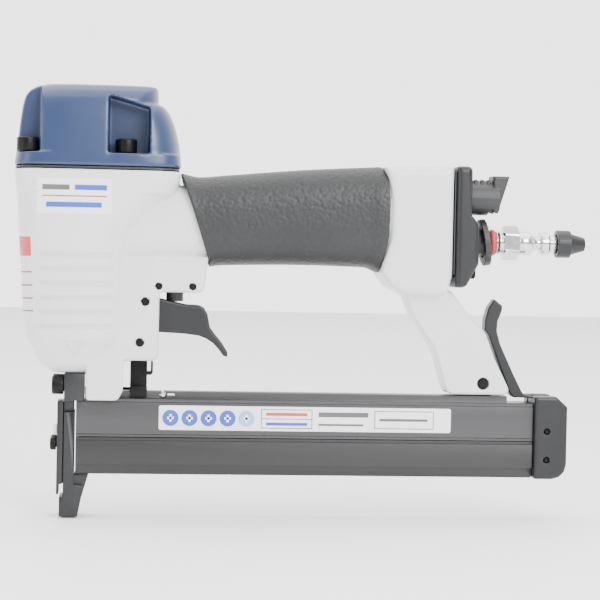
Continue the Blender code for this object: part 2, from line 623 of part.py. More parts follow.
def nose_group():
    """The nose body, its front plate with a clip, and their four screws."""
    lip = BLADE_THICK / 2 + 0.2
    channel = CROWN / 2 + 0.2
    body = box(-1.9, NOSE_BACK, -NOSE_HALF, NOSE_HALF, NOSE_LOW, NOSE_BLOCK_Z + 1)
    body = add("nose_body", body, "nose_steel")
    block_half = NOSE_HALF + 3.3
    fuse(body, box(NOSE_FRONT, NOSE_BLOCK_BACK, -block_half, block_half, NOSE_BLOCK_Z, BARREL_FLOOR - GAP))
    cut(body, box(-5, lip, -channel, channel, 0, NOSE_BLOCK_Z + 2))
    cut(body, box(-lip, lip, -channel, channel, 40, BARREL_FLOOR + 3))
    cut(body, box(0, 5, -channel, channel, MAG_LOW + 1.5, NOSE_BLOCK_Z - 0.8))
    low = NOSE_LOW + 0.2
    gusset = [(1.2, MAG_LOW - 0.4), (8.0, MAG_LOW - 0.4), (5.2, 6.8), (4.6, low), (1.2, low)]
    fuse(body, plate(gusset, NOSE_HALF - 1.2))
    plate_back = NOSE_FRONT - GAP
    plate_front = plate_back - FRONT_PLATE
    plate_half = NOSE_HALF + 1.6
    plate_low = 8.8
    front = box(plate_front, plate_back, -plate_half, plate_half, plate_low, NOSE_BLOCK_Z - 0.4)
    front = add("nose_front_plate", front, "nose_steel")
    fuse(front, box(-3, -lip - 0.1, 0.3 - channel, channel - 0.3, plate_low + 0.4, 45.0))
    cut(front, box(-3.7, -2.0, -plate_half - 1.2, plate_half + 1.2, 8, plate_low + SAFETY_TRAVEL))
    clip_back, clip_front = plate_front - GAP, plate_front - 1.6
    clip = [(clip_front, 32.0, 0.6), (clip_back, 32.0), (clip_back, 36.0), (clip_front, 36.0, 0.6)]
    add("front_plate_clip", plate(clip, 3.0), "bright_steel")
    for name, y in (("left", -1), ("right", 1)):
        upper = (plate_back, y * (NOSE_HALF + 0.4), NOSE_SCREW_Z)
        cut(body, rod(-10, 5.0, NOSE_SCREW_RADIUS + GAP, "X", (0, upper[1], upper[2]), 14))
        screw(f"nose_upper_screw_{name}", -4.6, 3.65, 4.5, NOSE_SCREW_RADIUS, "X", upper)
        lower = (plate_front - GAP, y * (NOSE_HALF - 1.3), PLATE_SCREW_Z)
        screw(f"nose_lower_screw_{name}", -2.4, 2.6, 2.0, PLATE_SCREW_RADIUS, "X", lower)
        cut(front, rod(-9, -2.6, PLATE_SCREW_RADIUS + GAP, "X", (0, lower[1], lower[2]), 14))


def magazine_group():
    """The fixed upper channel with its rib and hanger, the staple rail and the sliding lower channel."""
    inner = MAG_HALF - MAG_WALL
    fixed = box(MAG_FRONT, MAG_REAR, -MAG_HALF, MAG_HALF, MAG_STEP + GAP, MAG_TOP)
    fixed = add("magazine_fixed", fixed, "anodised")
    fuse(fixed, box(MAG_FRONT + 0.2, MAG_REAR - 10, -RIB_HALF, RIB_HALF, MAG_TOP - 1, RIB_TOP))
    fuse(fixed, box(MAG_REAR - 32, MAG_REAR - 16, -HANGER_HALF, HANGER_HALF, MAG_TOP - 1, RIB_TOP + 10.3))
    cut(fixed, box(0, MAG_REAR + 5, -inner, inner, 20, MAG_TOP - 2.0))
    cut(fixed, box(0, NOSE_BLOCK_BACK + GAP, -MAG_HALF - 3, MAG_HALF + 3, NOSE_BLOCK_Z - GAP, 60))
    stop_x, stop_z, stop_radius = STOP_PIN
    cut(fixed, pin(LEG_PIN[0], LEG_PIN[1], LEG_PIN[2] + GAP, 20), pin(stop_x, stop_z, stop_radius + GAP, 20))
    cut(fixed, box(stop_x + 1.8, stop_x + 4.8, -20, 20, stop_z - 0.7, stop_z + 0.5))
    stop = pin(stop_x, stop_z, stop_radius, RIB_HALF + 0.6)
    add("rib_stop_pin", stop, "bright_steel", (stop_x, 0, stop_z))
    roof, rear = MAG_TOP - 2.0 - GAP, MAG_REAR - 4.0
    rail = [(3.2, 27.0), (rear, 27.0), (rear, roof), (rear - 42, roof)]
    rail += [(rear - 44, roof - 1.5), (3.2, roof - 1.5)]
    add("staple_rail", plate(rail, RAIL_HALF), "bright_steel")
    slide = box(MAG_FRONT, MAG_REAR, -MAG_HALF, MAG_HALF, MAG_LOW + 4, MAG_STEP)
    slide = add("magazine_slide", slide, "anodised")
    fuse(slide, box(MAG_FRONT, MAG_REAR, 1 - MAG_HALF, MAG_HALF - 1, MAG_LOW, MAG_LOW + 4.6))
    cut(slide, box(0, MAG_REAR + 5, 1 - inner, inner - 1, MAG_LOW + MAG_WALL, 40))
    fuse(slide, box(MAG_FRONT, MAG_FRONT + 2.5, -2.4, 2.4, MAG_LOW + 1, ROD_Z + 3.2))
    cut(slide, rod(0, 10, ROD_RADIUS + GAP, "X", (0, 0, ROD_Z), 12))


def magazine_end():
    """The magazine's end cap with its pins, and the lever that holds the sliding channel shut."""
    front, rear = MAG_REAR + GAP, MAG_REAR + CAP_LENGTH
    low, top = MAG_LOW - 0.2, RIB_TOP + 0.4
    outline = [(front, low, 1), (rear, low, 6), (rear, top - 4.1), (rear - 4.5, top), (front, top, 0.8)]
    end = add("magazine_end_cap", plate(outline, END_CAP_HALF, 1.2), "plastic_grey")
    slot = LEVER_HALF + 0.6
    cut(end, box(front - 6, MAG_REAR + 9.5, -slot, slot, MAG_TOP - 7.5, 60))
    cut(end, rod(front - 6, MAG_REAR + 4, ROD_RADIUS + GAP, "X", (0, 0, ROD_Z), 12))
    pin_x = MAG_REAR + 5.4
    for number, z in enumerate((MAG_STEP + 4.4, MAG_STEP - 7.1), 1):
        cut(end, pin(pin_x, z, END_PIN_RADIUS + GAP, 20))
        cross = pin(pin_x, z, END_PIN_RADIUS, END_CAP_HALF - GAP)
        add(f"end_cap_pin_{number}", cross, "black_steel", (pin_x, 0, z))
    lever_x, lever_z = LEVER_PIVOT
    cut(end, pin(lever_x, lever_z, LEVER_PIN_RADIUS + GAP, LEVER_PIN_HALF + GAP))
    cross = pin(lever_x, lever_z, LEVER_PIN_RADIUS, LEVER_PIN_HALF)
    add("lever_pin", cross, "black_steel", (lever_x, 0, lever_z))
    outline = offset_outline(LEVER_PIVOT, [
        (2.8, -2.2, 2), (3.0, 2.8, 2), (-7.2, 5.7, 1.5), (-11.1, 13.3), (-16.8, 25.4, 4), (-18.3, 30.6),
        (-18.1, 34.8), (-16.4, 39.0), (-16.3, 41.1), (-19.7, 43.8), (-22.0, 40.3), (-23.3, 35.8),
        (-23.4, 31.4), (-21.7, 28.9), (-18.1, 19.5), (-14.1, 9.6), (-12.4, 5.2, 1), (-2.8, -2.8, 2),
    ])
    lever = add("release_lever", plate(outline, LEVER_HALF, 0.6), "plastic_grey", (lever_x, 0, lever_z))
    cut(lever, pin(lever_x, lever_z, LEVER_PIN_RADIUS + GAP, 20))
    cut(lever, box(lever_x - 30, lever_x - 3.4, -9, 9, 40, RIB_TOP - 0.6))


def pusher_group():
    """The pusher that rides on the rail and on a rod, with the spring that drives it."""
    push = add("pusher", box(8.0, 26.0, 3.4 - MAG_HALF, MAG_HALF - 3.4, MAG_LOW + 2.2, 42.6), "bright_steel")
    cut(push, box(0, 40, -RAIL_HALF - GAP, RAIL_HALF + GAP, 26.5, 50))
    cut(push, rod(0, 40, ROD_RADIUS + GAP, "X", (0, 0, ROD_Z), 12))
    add("pusher_rod", rod(3.2, MAG_REAR + 3, ROD_RADIUS, "X", (0, 0, ROD_Z), 10), "bright_steel")
    spring = coil(ROD_RADIUS + 0.8, 0.35, 26.6, MAG_REAR - 0.6, 22, "X", (0, 0, ROD_Z), 8, 4)
    add("pusher_spring", spring, "bright_steel")


def grip():
    """The rubber sleeve round the handle's core, shaped to the barrel in front and the block behind."""
    wall = CORE_HALF + 2.4
    stations = [
        (41.0, 97.4, 137.0, wall + 1.0), (50.0, 98.8, 135.5, wall + 0.4), (60.0, 100.4, 136.4, wall + 0.2),
        (92.0, 101.1, 139.4, wall), (116.5, 100.7, 141.0, wall + 0.2), (123.0, 98.4, 141.7, wall + 0.6),
        (CORE_REAR, 97.6, BLOCK_TOP, wall + 0.6),
    ]
    sleeve = add("grip_sleeve", beam(stations, 2.6, 28), "rubber_grey")
    last = handle_core(CORE_REAR, CORE_REAR)[0]
    beyond = (CORE_REAR + 7, last[1] + 0.2, last[2] + 0.7, CORE_HALF)
    cut(sleeve, beam(handle_core(CORE_FRONT, CORE_REAR - 8) + [beyond], grow=GAP))
    front = [(20.0, 150.0), (40.6, 150.0), (42.9, 136.0), (55.4, 97.4), (57.5, 90.0), (20.0, 90.0)]
    cut(sleeve, plate(front, 30))
    rear = [(x - GAP, z) for x, z in block_front()]
    rear = [(123.6, 150.0)] + rear + [(120.5, 90.0), (150.0, 90.0), (150.0, 150.0)]
    cut(sleeve, plate(rear, 30))
    trigger_block = VALVE_X + 12.9 + GAP
    cut(sleeve, box(30, trigger_block, -LUG_HALF - GAP, LUG_HALF + GAP, 85, 104.0 + GAP))


def handle_end():
    """The grey cap that closes the handle, its gasket and two screws."""
    front, rear = BLOCK_REAR + 1.0, BLOCK_REAR + END_CAP_THICK
    outline = [(front, 93.4, 1), (rear - 2, 93.4, 3), (rear + 3.2, 103.0, 3), (rear + 3.2, INLET_Z + 6.9, 2)]
    outline += [(rear, INLET_Z + 10.7), (rear, BLOCK_TOP, 2), (front, BLOCK_TOP, 1)]
    end = add("handle_end_cap", plate(outline, BLOCK_HALF, 2.0), "plastic_grey")
    gasket_front, gasket_rear = BLOCK_REAR + GAP, front - GAP
    low, high = 98.5, BLOCK_TOP - 2.2
    outline = [(gasket_front, low), (gasket_rear, low), (gasket_rear, high), (gasket_front, high)]
    seal = add("handle_gasket", plate(outline, BLOCK_HALF - 2), "seal_black")
    for z, radius in ((INLET_Z, INLET_RADIUS + 0.4), (EXHAUST_Z, EXHAUST_RADIUS + 0.5)):
        for piece in (end, seal):
            cut(piece, rod(BLOCK_REAR - 12, rear + 12, radius, "X", (0, 0, z), 24))
    offset, height = HANDLE_SCREW
    for name, y in (("left", -offset), ("right", offset)):
        cut(end, rod(front - 12, rear + 12, HANDLE_SCREW_RADIUS + 0.4, "X", (0, y, height), 14))
        cut(end, rod(rear, rear + 12, HANDLE_SCREW_HEAD + GAP, "X", (0, y, height), 14))
        spot = (rear + GAP, y, height)
        screw(f"end_cap_screw_{name}", 1.8, HANDLE_SCREW_HEAD, 6.0, HANDLE_SCREW_RADIUS, "X", spot)


def exhaust():
    """The exhaust tube inside the handle and the deflector that swivels on its end."""
    rear = BLOCK_REAR + END_CAP_THICK
    centre = (0, 0, EXHAUST_Z)
    tube = ring(CORE_REAR + 8, rear + 8.6, EXHAUST_RADIUS - 1.4, EXHAUST_RADIUS, "X", centre, 16)
    add("exhaust_tube", tube, "aluminium")
    base = rear + GAP
    bore = EXHAUST_RADIUS + GAP
    hood = ring(base, base + 12.3, bore, bore + 2.5, "X", centre, 28)
    hood = add("exhaust_deflector", hood, "seal_black", (base, 0, EXHAUST_Z))
    lip = [(base + 9.4, -5.6), (base + 11.6, -6.1), (base + 16.2, 9.0), (base + 9.4, 9.0)]
    fuse(hood, plate([(x, EXHAUST_Z + z) for x, z in lip], bore + 1.3, 0.8))
    for step in range(3):
        fuse(hood, pin(base + 2.7 + 2.6 * step, EXHAUST_Z + bore + 2.4, 0.9, 3.6))
    cut(hood, rod(150, base + 10.3, bore, "X", centre, 24))
    cut(hood, box(base + 8, base + 30, -4.2, 4.2, EXHAUST_Z - 12, EXHAUST_Z + 4.2))


def air_inlet():
    """The bushing, loose collar, red seal, air plug and dust cap on one axis."""
    centre = (0, 0, INLET_Z)
    face = BLOCK_REAR + 16.2
    bushing = ring(BLOCK_REAR - 1.6, face, PLUG_RADIUS + GAP, INLET_RADIUS, "X", centre)
    add("inlet_bushing", bushing, "seal_black")
    collar = ring(-1.25, 1.25, INLET_RADIUS + 1.0, INLET_RADIUS + 4.2, "X", sides=32)
    bmesh.ops.rotate(collar, verts=collar.verts, matrix=Matrix.Rotation(math.radians(-8), 3, "Y"))
    bmesh.ops.translate(collar, verts=collar.verts, vec=(face - 1.6, 0, INLET_Z))
    add("collar_ring", collar, "seal_black")
    neck = PLUG_RADIUS + 0.8
    seal = ring(face + 0.4, face + 3.0, neck + GAP, neck + 1.5, "X", centre)
    add("inlet_seal_ring", seal, "seal_red")
    nose = DUST_CAP_BORE - GAP
    plug = [(-9.0, 1.8), (-9.0, PLUG_RADIUS), (0.2, PLUG_RADIUS), (0.2, neck), (3.4, neck), (3.4, 5.0)]
    plug += [(4.8, 5.0), (4.8, 4.8), (16.9, 4.8), (19.0, 3.0), (21.2, 2.8), (21.6, 4.6), (24.9, 4.6)]
    plug += [(25.3, nose), (29.7, nose), (29.7, 1.8)]
    plug = [(face + along, radius) for along, radius in plug]
    plug = add("air_plug", turned(plug, "X", centre, 24), "bright_steel")
    fuse(plug, ring(face + 5.9, face + 12.2, 4.1, 7.0, "X", centre, 6))
    start = face + 28.2
    dust = [(0, DUST_CAP_BORE), (0, 5.6), (5.6, 5.6), (5.9, 4.4), (11.8, 2.7), (11.8, 0), (1.8, 0)]
    dust.append((1.8, DUST_CAP_BORE))
    dust = [(start + along, radius) for along, radius in dust]
    add("dust_cap", turned(dust, "X", centre, 24), "plastic_grey", (start, 0, INLET_Z))


clear_scene()
housing()
cap()
gasket()
cap_screws()
cross_pins()
drive_train()
trigger_group()
safety_group()
nose_group()
magazine_group()
magazine_end()
pusher_group()
grip()
handle_end()
exhaust()
air_inlet()
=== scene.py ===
import json
import math

import bmesh
import bpy
from mathutils import Matrix, Vector

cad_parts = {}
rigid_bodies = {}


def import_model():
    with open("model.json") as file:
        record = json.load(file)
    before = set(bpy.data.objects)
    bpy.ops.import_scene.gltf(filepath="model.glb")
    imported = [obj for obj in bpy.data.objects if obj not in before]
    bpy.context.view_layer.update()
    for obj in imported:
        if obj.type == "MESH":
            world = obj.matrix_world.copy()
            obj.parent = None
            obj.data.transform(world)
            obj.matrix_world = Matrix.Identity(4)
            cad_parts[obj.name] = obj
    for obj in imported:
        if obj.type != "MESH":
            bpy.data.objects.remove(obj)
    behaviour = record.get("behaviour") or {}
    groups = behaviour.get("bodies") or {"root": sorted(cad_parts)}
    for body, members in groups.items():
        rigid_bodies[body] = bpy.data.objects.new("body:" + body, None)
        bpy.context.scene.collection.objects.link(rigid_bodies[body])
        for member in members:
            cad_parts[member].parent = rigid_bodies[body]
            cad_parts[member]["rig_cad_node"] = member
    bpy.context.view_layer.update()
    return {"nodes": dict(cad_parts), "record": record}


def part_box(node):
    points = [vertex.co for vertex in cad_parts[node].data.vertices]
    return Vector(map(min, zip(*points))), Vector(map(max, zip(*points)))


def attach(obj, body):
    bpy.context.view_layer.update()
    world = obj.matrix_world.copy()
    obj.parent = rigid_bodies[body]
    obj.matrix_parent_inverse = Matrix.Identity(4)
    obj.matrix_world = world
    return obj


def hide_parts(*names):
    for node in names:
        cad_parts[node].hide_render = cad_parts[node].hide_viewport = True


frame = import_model()
MM = 0.001
SCREW_HOLE = 2.5
GROOVES = 6
GROOVE_LOW = 75.3
GROOVE_PITCH = 5.62
INK_THICK = 0.09
WORLD_FRONT = 0.7
WORLD_BACK = 3.2
PICTURE_WIDTH = 600
NODES = frame["nodes"]
BODY_OF = {node: body for body, nodes in frame["record"]["behaviour"]["bodies"].items() for node in nodes}
SLOT_OF = {part["node"]: part["material_slot"] for part in frame["record"]["subparts"]}


# ---------------------------------------------------------------- materials

def finish(name, colour, roughness, metallic=0.0, speckle=0.06, grain=300.0, bump=0.15, depth=0.00005,
           stretch=(1.0, 1.0, 1.0), coat=0.0, spread=0.08, shine=0.5):
    """A surface whose colour, roughness and relief come from noise laid in the object's own space."""
    made = bpy.data.materials.new(name)
    made.use_nodes = True
    tree = made.node_tree
    shader = tree.nodes["Principled BSDF"]
    shader.inputs["Metallic"].default_value = metallic
    shader.inputs["Specular IOR Level"].default_value = shine
    shader.inputs["Coat Weight"].default_value = coat
    shader.inputs["Coat Roughness"].default_value = 0.12
    place = tree.nodes.new("ShaderNodeTexCoord")
    mapping = tree.nodes.new("ShaderNodeMapping")
    mapping.inputs["Scale"].default_value = stretch
    tree.links.new(place.outputs["Object"], mapping.inputs["Vector"])
    broad = tree.nodes.new("ShaderNodeTexNoise")
    broad.inputs["Scale"].default_value = 45.0
    broad.inputs["Detail"].default_value = 6.0
    tree.links.new(mapping.outputs["Vector"], broad.inputs["Vector"])
    fine = tree.nodes.new("ShaderNodeTexNoise")
    fine.inputs["Detail"].default_value = 4.0
    height = fine.outputs["Fac"]
    fine.inputs["Scale"].default_value = grain
    tree.links.new(mapping.outputs["Vector"], fine.inputs["Vector"])
    ramp = tree.nodes.new("ShaderNodeValToRGB")
    ramp.color_ramp.elements[0].position = 0.3
    ramp.color_ramp.elements[1].position = 0.7
    ramp.color_ramp.elements[0].color = (*(part * (1 - speckle) for part in colour), 1)
    ramp.color_ramp.elements[1].color = (*(min(1.0, part * (1 + speckle)) for part in colour), 1)
    tree.links.new(broad.outputs["Fac"], ramp.inputs["Fac"])
    tree.links.new(ramp.outputs["Color"], shader.inputs["Base Color"])
    rough = tree.nodes.new("ShaderNodeMapRange")
    rough.inputs["To Min"].default_value = max(0.02, roughness - spread)
    rough.inputs["To Max"].default_value = roughness + spread
    tree.links.new(height, rough.inputs["Value"])
    tree.links.new(rough.outputs["Result"], shader.inputs["Roughness"])
    relief = tree.nodes.new("ShaderNodeBump")
    relief.inputs["Strength"].default_value = bump
    relief.inputs["Distance"].default_value = depth
    tree.links.new(height, relief.inputs["Height"])
    tree.links.new(relief.outputs["Normal"], shader.inputs["Normal"])
    return made


BRUSHED = (0.08, 1.0, 1.0)
FINISHES = {
    "white_paint": finish("white_paint", (0.74, 0.745, 0.76), 0.36,
                          speckle=0.012, grain=1400, bump=0.10, depth=0.00004, coat=0.2),
    "blue_paint": finish("blue_paint", (0.020, 0.038, 0.100), 0.33,
                         speckle=0.05, grain=1400, bump=0.14, depth=0.00004, coat=0.15),
    "rubber_grey": finish("rubber_grey", (0.0185, 0.019, 0.02), 0.46,
                          speckle=0.12, grain=1500, bump=0.3, depth=0.0001, shine=0.4),
    "plastic_grey": finish("plastic_grey", (0.0105, 0.0108, 0.0125), 0.4, speckle=0.08, grain=2200, bump=0.22,
                           depth=0.00006, shine=0.42),
    "black_steel": finish("black_steel", (0.004, 0.0038, 0.0035), 0.38, speckle=0.15, grain=700, shine=0.2),
    "nose_steel": finish("nose_steel", (0.034, 0.035, 0.037), 0.4, 0.6,
                         speckle=0.12, grain=500, stretch=(1, 1, 0.1), shine=0.5),
    "anodised": finish("anodised", (0.078, 0.077, 0.08), 0.38, 0.75,
                       speckle=0.06, grain=1600, stretch=BRUSHED, bump=0.3),
    "anodised_dark": finish("anodised_dark", (0.05, 0.049, 0.05), 0.42, 0.7,
                            speckle=0.06, grain=1600, stretch=BRUSHED, bump=0.3),
    "bright_steel": finish("bright_steel", (0.66, 0.66, 0.68), 0.2, 1.0,
                           speckle=0.05, grain=600, spread=0.06),
    "seal_red": finish("seal_red", (0.52, 0.035, 0.04), 0.5, speckle=0.08, grain=900),
    "seal_black": finish("seal_black", (0.02, 0.0205, 0.022), 0.45, speckle=0.12, grain=1100, bump=0.2),
    "aluminium": finish("aluminium", (0.68, 0.68, 0.7), 0.32, 1.0, speckle=0.04, grain=800, stretch=BRUSHED),
    "label_white": finish("label_white", (0.93, 0.93, 0.93), 0.3, speckle=0.01, grain=900, bump=0.05),
    "label_blue": finish("label_blue", (0.03, 0.09, 0.52), 0.35, speckle=0.04, grain=900, bump=0.05),
    "label_red": finish("label_red", (0.62, 0.05, 0.06), 0.35, speckle=0.04, grain=900, bump=0.05),
    "label_pale": finish("label_pale", (0.30, 0.50, 0.80), 0.35, speckle=0.04, grain=900, bump=0.05),
    "label_pink": finish("label_pink", (0.84, 0.76, 0.74), 0.35, speckle=0.02, grain=900, bump=0.05),
    "label_grey": finish("label_grey", (0.10, 0.105, 0.115), 0.35, speckle=0.04, grain=900, bump=0.05),
}


# ---------------------------------------------------------------- mesh tools, in millimetres

def new_object(name, shape, scale=MM):
    bmesh.ops.recalc_face_normals(shape, faces=shape.faces)
    bmesh.ops.scale(shape, verts=shape.verts, vec=(scale, scale, scale))
    mesh = bpy.data.meshes.new(name)
    shape.to_mesh(mesh)
    shape.free()
    made = bpy.data.objects.new(name, mesh)
    bpy.context.scene.collection.objects.link(made)
    return made


def solid_copy(node, name):
    """A copy of a CAD node's mesh whose split corners are joined again."""
    shape = bmesh.new()
    shape.from_mesh(NODES[node].data)
    bmesh.ops.remove_doubles(shape, verts=shape.verts, dist=2e-6)
    return new_object(name, shape, 1.0)


def apply_modifiers(piece):
    graph = bpy.context.evaluated_depsgraph_get()
    graph.update()
    mesh = bpy.data.meshes.new_from_object(piece.evaluated_get(graph))
    piece.modifiers.clear()
    piece.data = mesh
    return piece


def box(x0, x1, y0, y1, z0, z1):
    shape = bmesh.new()
    bmesh.ops.create_cube(shape, size=1)
    bmesh.ops.scale(shape, verts=shape.verts, vec=(x1 - x0, y1 - y0, z1 - z0))
    middle = ((x0 + x1) / 2, (y0 + y1) / 2, (z0 + z1) / 2)
    bmesh.ops.translate(shape, verts=shape.verts, vec=middle)
    return shape


def prism(points, low, high, axis="Y"):
    """A flat outline made solid along Y (points are x, z) or along X (points are y, z)."""
    shape = bmesh.new()
    spots = [(x, low, z) if axis == "Y" else (low, x, z) for x, z in points]
    face = shape.faces.new([shape.verts.new(spot) for spot in spots])
    moved = bmesh.ops.extrude_face_region(shape, geom=[face])["geom"]
    moved = [item for item in moved if isinstance(item, bmesh.types.BMVert)]
    shift = (0, high - low, 0) if axis == "Y" else (high - low, 0, 0)
    bmesh.ops.translate(shape, verts=moved, vec=shift)
    return shape


def turned(profile, axis="Z", centre=(0, 0, 0), sides=64):
    """A closed (along, radius) profile turned about an axis; radius 0 is a point on the axis."""
    shape = bmesh.new()
    rings = []
    for along, radius in profile:
        turns = [2 * math.pi * side / sides for side in range(sides if radius else 1)]
        rings.append([shape.verts.new((radius * math.cos(a), radius * math.sin(a), along)) for a in turns])
    for index, ring in enumerate(rings):
        other = rings[(index + 1) % len(rings)]
        for side in range(sides if len(ring) + len(other) > 2 else 0):
            follow = (side + 1) % sides
            corners = [ring[side % len(ring)], other[side % len(other)]]
            corners += [other[follow % len(other)], ring[follow % len(ring)]]
            shape.faces.new(dict.fromkeys(corners))
    if axis == "X":
        bmesh.ops.rotate(shape, verts=shape.verts, matrix=Matrix.Rotation(math.radians(90), 3, "Y"))
    if axis == "Y":
        bmesh.ops.rotate(shape, verts=shape.verts, matrix=Matrix.Rotation(math.radians(-90), 3, "X"))
    bmesh.ops.translate(shape, verts=shape.verts, vec=centre)
    return shape


def join(piece, shape, operation):
    helper = new_object(f"helper_{piece.name}", shape)
    modifier = piece.modifiers.new("shape", "BOOLEAN")
    modifier.operation = operation
    modifier.object = helper
    apply_modifiers(piece)
    bpy.data.objects.remove(helper, do_unlink=True)


def cut(piece, *shapes):
    for shape in shapes:
        join(piece, shape, "DIFFERENCE")


def fuse(piece, *shapes):
    for shape in shapes:
        join(piece, shape, "UNION")


def soften(piece, voxel, passes, factor=0.5):
    """Turns sharp modelled edges into the small even radii of a casting or a moulding."""
    remesh = piece.modifiers.new("skin", "REMESH")
    remesh.mode = "VOXEL"
    remesh.voxel_size = voxel * MM
    smooth = piece.modifiers.new("radii", "SMOOTH")
    smooth.factor = factor
    smooth.iterations = passes
    apply_modifiers(piece)
    piece.data.shade_smooth()
    return piece


def edge_radii(piece, width, segments=3, angle=28):
    """Small bevels on the sharp edges of a machined or extruded piece."""
    bevel = piece.modifiers.new("edges", "BEVEL")
    bevel.width = width * MM
    bevel.segments = segments
    bevel.limit_method = "ANGLE"
    bevel.angle_limit = math.radians(angle)
    bevel.harden_normals = False
    apply_modifiers(piece)
    piece.data.shade_smooth()
    piece.data.set_sharp_from_angle(angle=math.radians(40))
    return piece


def finish_piece(piece, node, look=None, hides=True):
    """Gives a piece its material and slot, and makes it move with its CAD node's body."""
    piece.data.materials.clear()
    piece.data.materials.append(FINISHES[look or SLOT_OF[node]])
    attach(piece, BODY_OF[node])
    if hides:
        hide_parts(node)
    return piece


# ---------------------------------------------------------------- housing, cap and handle

def oval(centre_a, centre_b, half_a, half_b, power, count):
    """Points of a rounded rectangle: power 2 is an ellipse, more is squarer."""
    points = []
    for step in range(count):
        angle = 2 * math.pi * step / count
        cosine, sine = math.cos(angle), math.sin(angle)
        reach_a = math.copysign(abs(cosine) ** (2 / power), cosine)
        reach_b = math.copysign(abs(sine) ** (2 / power), sine)
        points.append((centre_a + half_a * reach_a, centre_b + half_b * reach_b))
    return points


def between(rows, steps):
    """Rows of numbers with smooth rows put between them, on a curve that doesn't overshoot."""
    slopes = []
    for index, row in enumerate(rows):
        before, after = rows[max(index - 1, 0)], rows[min(index + 1, len(rows) - 1)]
        slope = []
        for column in range(1, len(row)):
            back = (row[column] - before[column]) / ((row[0] - before[0]) or 1)
            ahead = (after[column] - row[column]) / ((after[0] - row[0]) or 1)
            slope.append(2 * back * ahead / (back + ahead) if back * ahead > 0 else 0)
        slopes.append(slope)
    filled = []
    for low, high, start, end in zip(rows, rows[1:], slopes, slopes[1:]):
        span = high[0] - low[0]
        for step in range(steps):
            t = step / steps
            row = [low[0] + span * t]
            for index in range(1, len(low)):
                value = (2 * t ** 3 - 3 * t * t + 1) * low[index] + (3 * t * t - 2 * t ** 3) * high[index]
                value += (t ** 3 - 2 * t * t + t) * span * start[index - 1]
                value += (t ** 3 - t * t) * span * end[index - 1]
                row.append(value)
            filled.append(row)
    return filled + [list(rows[-1])]


def loft(rings):
    shape = bmesh.new()
    made = [[shape.verts.new(point) for point in points] for points in rings]
    count = len(made[0])
    for low, high in zip(made, made[1:]):
        for side in range(count):
            follow = (side + 1) % count
            shape.faces.new((low[side], low[follow], high[follow], high[side]))
    shape.faces.new(made[0])
    shape.faces.new(made[-1])
    return shape


def column(levels, power, steps=6, count=140):
    """A smooth loft up Z of levels (z, front x, rear x, half width)."""
    rings = []
    for z, front, rear, half in between(levels, steps):
        flat = oval((front + rear) / 2, 0, (rear - front) / 2, half, power, count)
        rings.append([(x, y, z) for x, y in flat])
    return loft(rings)


def beam(stations, power, steps=8, count=120, grow=0.0):
    """A smooth loft along X of stations (x, bottom z, top z, half width)."""
    rings = []
    for x, low, high, half in between(stations, steps):
        flat = oval(0, (low + high) / 2, half + grow, (high - low) / 2 + grow, power, count)
        rings.append([(x, y, z) for y, z in flat])
    return loft(rings)


def screw_places():
    """The middles of the four cap screws, from the CAD model."""
    places = []
    for number in (1, 2, 3, 4):
        low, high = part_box(f"cap_screw_{number}")
        places.append(((low[0] + high[0]) / 2 / MM, (low[1] + high[1]) / 2 / MM))
    return places


def screw_hole(x, y, low, high):
    """A round cutter for one cap screw, upright at x, y."""
    outline = [(low, 0), (low, SCREW_HOLE), (high, SCREW_HOLE), (high, 0)]
    return turned(outline, "Z", (x, y, 0), 24)


def barrel_skin(front, rear, half, top):
    """The round barrel and its flange with smooth walls, hollow like the CAD casting."""
    floor = 57.0
    levels = [
        (floor, -7.5, 9.0, 8.0),
        (floor + 3.3, -11.9, 15.0, 11.5),
        (floor + 9.3, -15.2, 19.0, 14.2),
        (floor + 15, front + 5.1, 22.6, half - 5.9),
        (floor + 47.8, front + 2.6, 22.6, half - 3.3),
        (floor + 54, front + 2.1, 23.6, half - 2.7),
        (floor + 64, front + 1.3, rear - 10, half - 1.7),
        (floor + 74, front + 0.4, rear - 0.8, half - 0.4),
        (top - 0.4, front + 0.2, rear - 0.2, half - 0.2),
    ]
    flange = [
        (top - 8.8, front + 1.6, rear - 2.5, half - 2.1),
        (top - 3.3, front + 0.3, rear - 0.2, half - 0.2),
        (top, front, rear, half),
    ]
    skin = new_object("barrel_skin", column(levels, 2.6))
    join(skin, column(flange, 5.0), "UNION")
    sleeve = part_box("cylinder_sleeve")
    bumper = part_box("bumper")
    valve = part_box("head_valve")
    bore = sleeve[1][0] / MM + 0.3
    cup = bumper[1][0] / MM + 0.3
    pocket = valve[1][0] / MM + 1.6
    shelf = sleeve[0][2] / MM - 0.3
    wide = sleeve[1][2] / MM - 12
    seat = bumper[0][2] / MM - 0.3
    hollow = [(55.0, 0), (55.0, 5.0), (seat, 5.0), (seat, cup), (shelf, cup)]
    hollow += [(shelf, bore), (wide, bore), (wide, pocket), (top + 2, pocket), (top + 2, 0)]
    cut(skin, turned(hollow))
    for x, y in screw_places():
        cut(skin, screw_hole(x, y, top - 4.3, top + 2))
    return skin


def slot_distance(x, z, middle_x, middle_z, length, height):
    """How far a point is outside a long slot with round ends (negative inside)."""
    radius = height / 2
    along = max(abs(x - middle_x) - (length / 2 - radius), 0)
    return math.hypot(along, z - middle_z) - radius


def triangle_distance(x, z, corners):
    """How far a point is outside a triangle whose corners run anticlockwise (negative inside)."""
    worst = -100.0
    for (ax, az), (bx, bz) in zip(corners, corners[1:] + corners[:1]):
        length = math.hypot(bx - ax, bz - az)
        worst = max(worst, ((bz - az) * (x - ax) - (bx - ax) * (z - az)) / length)
    return worst


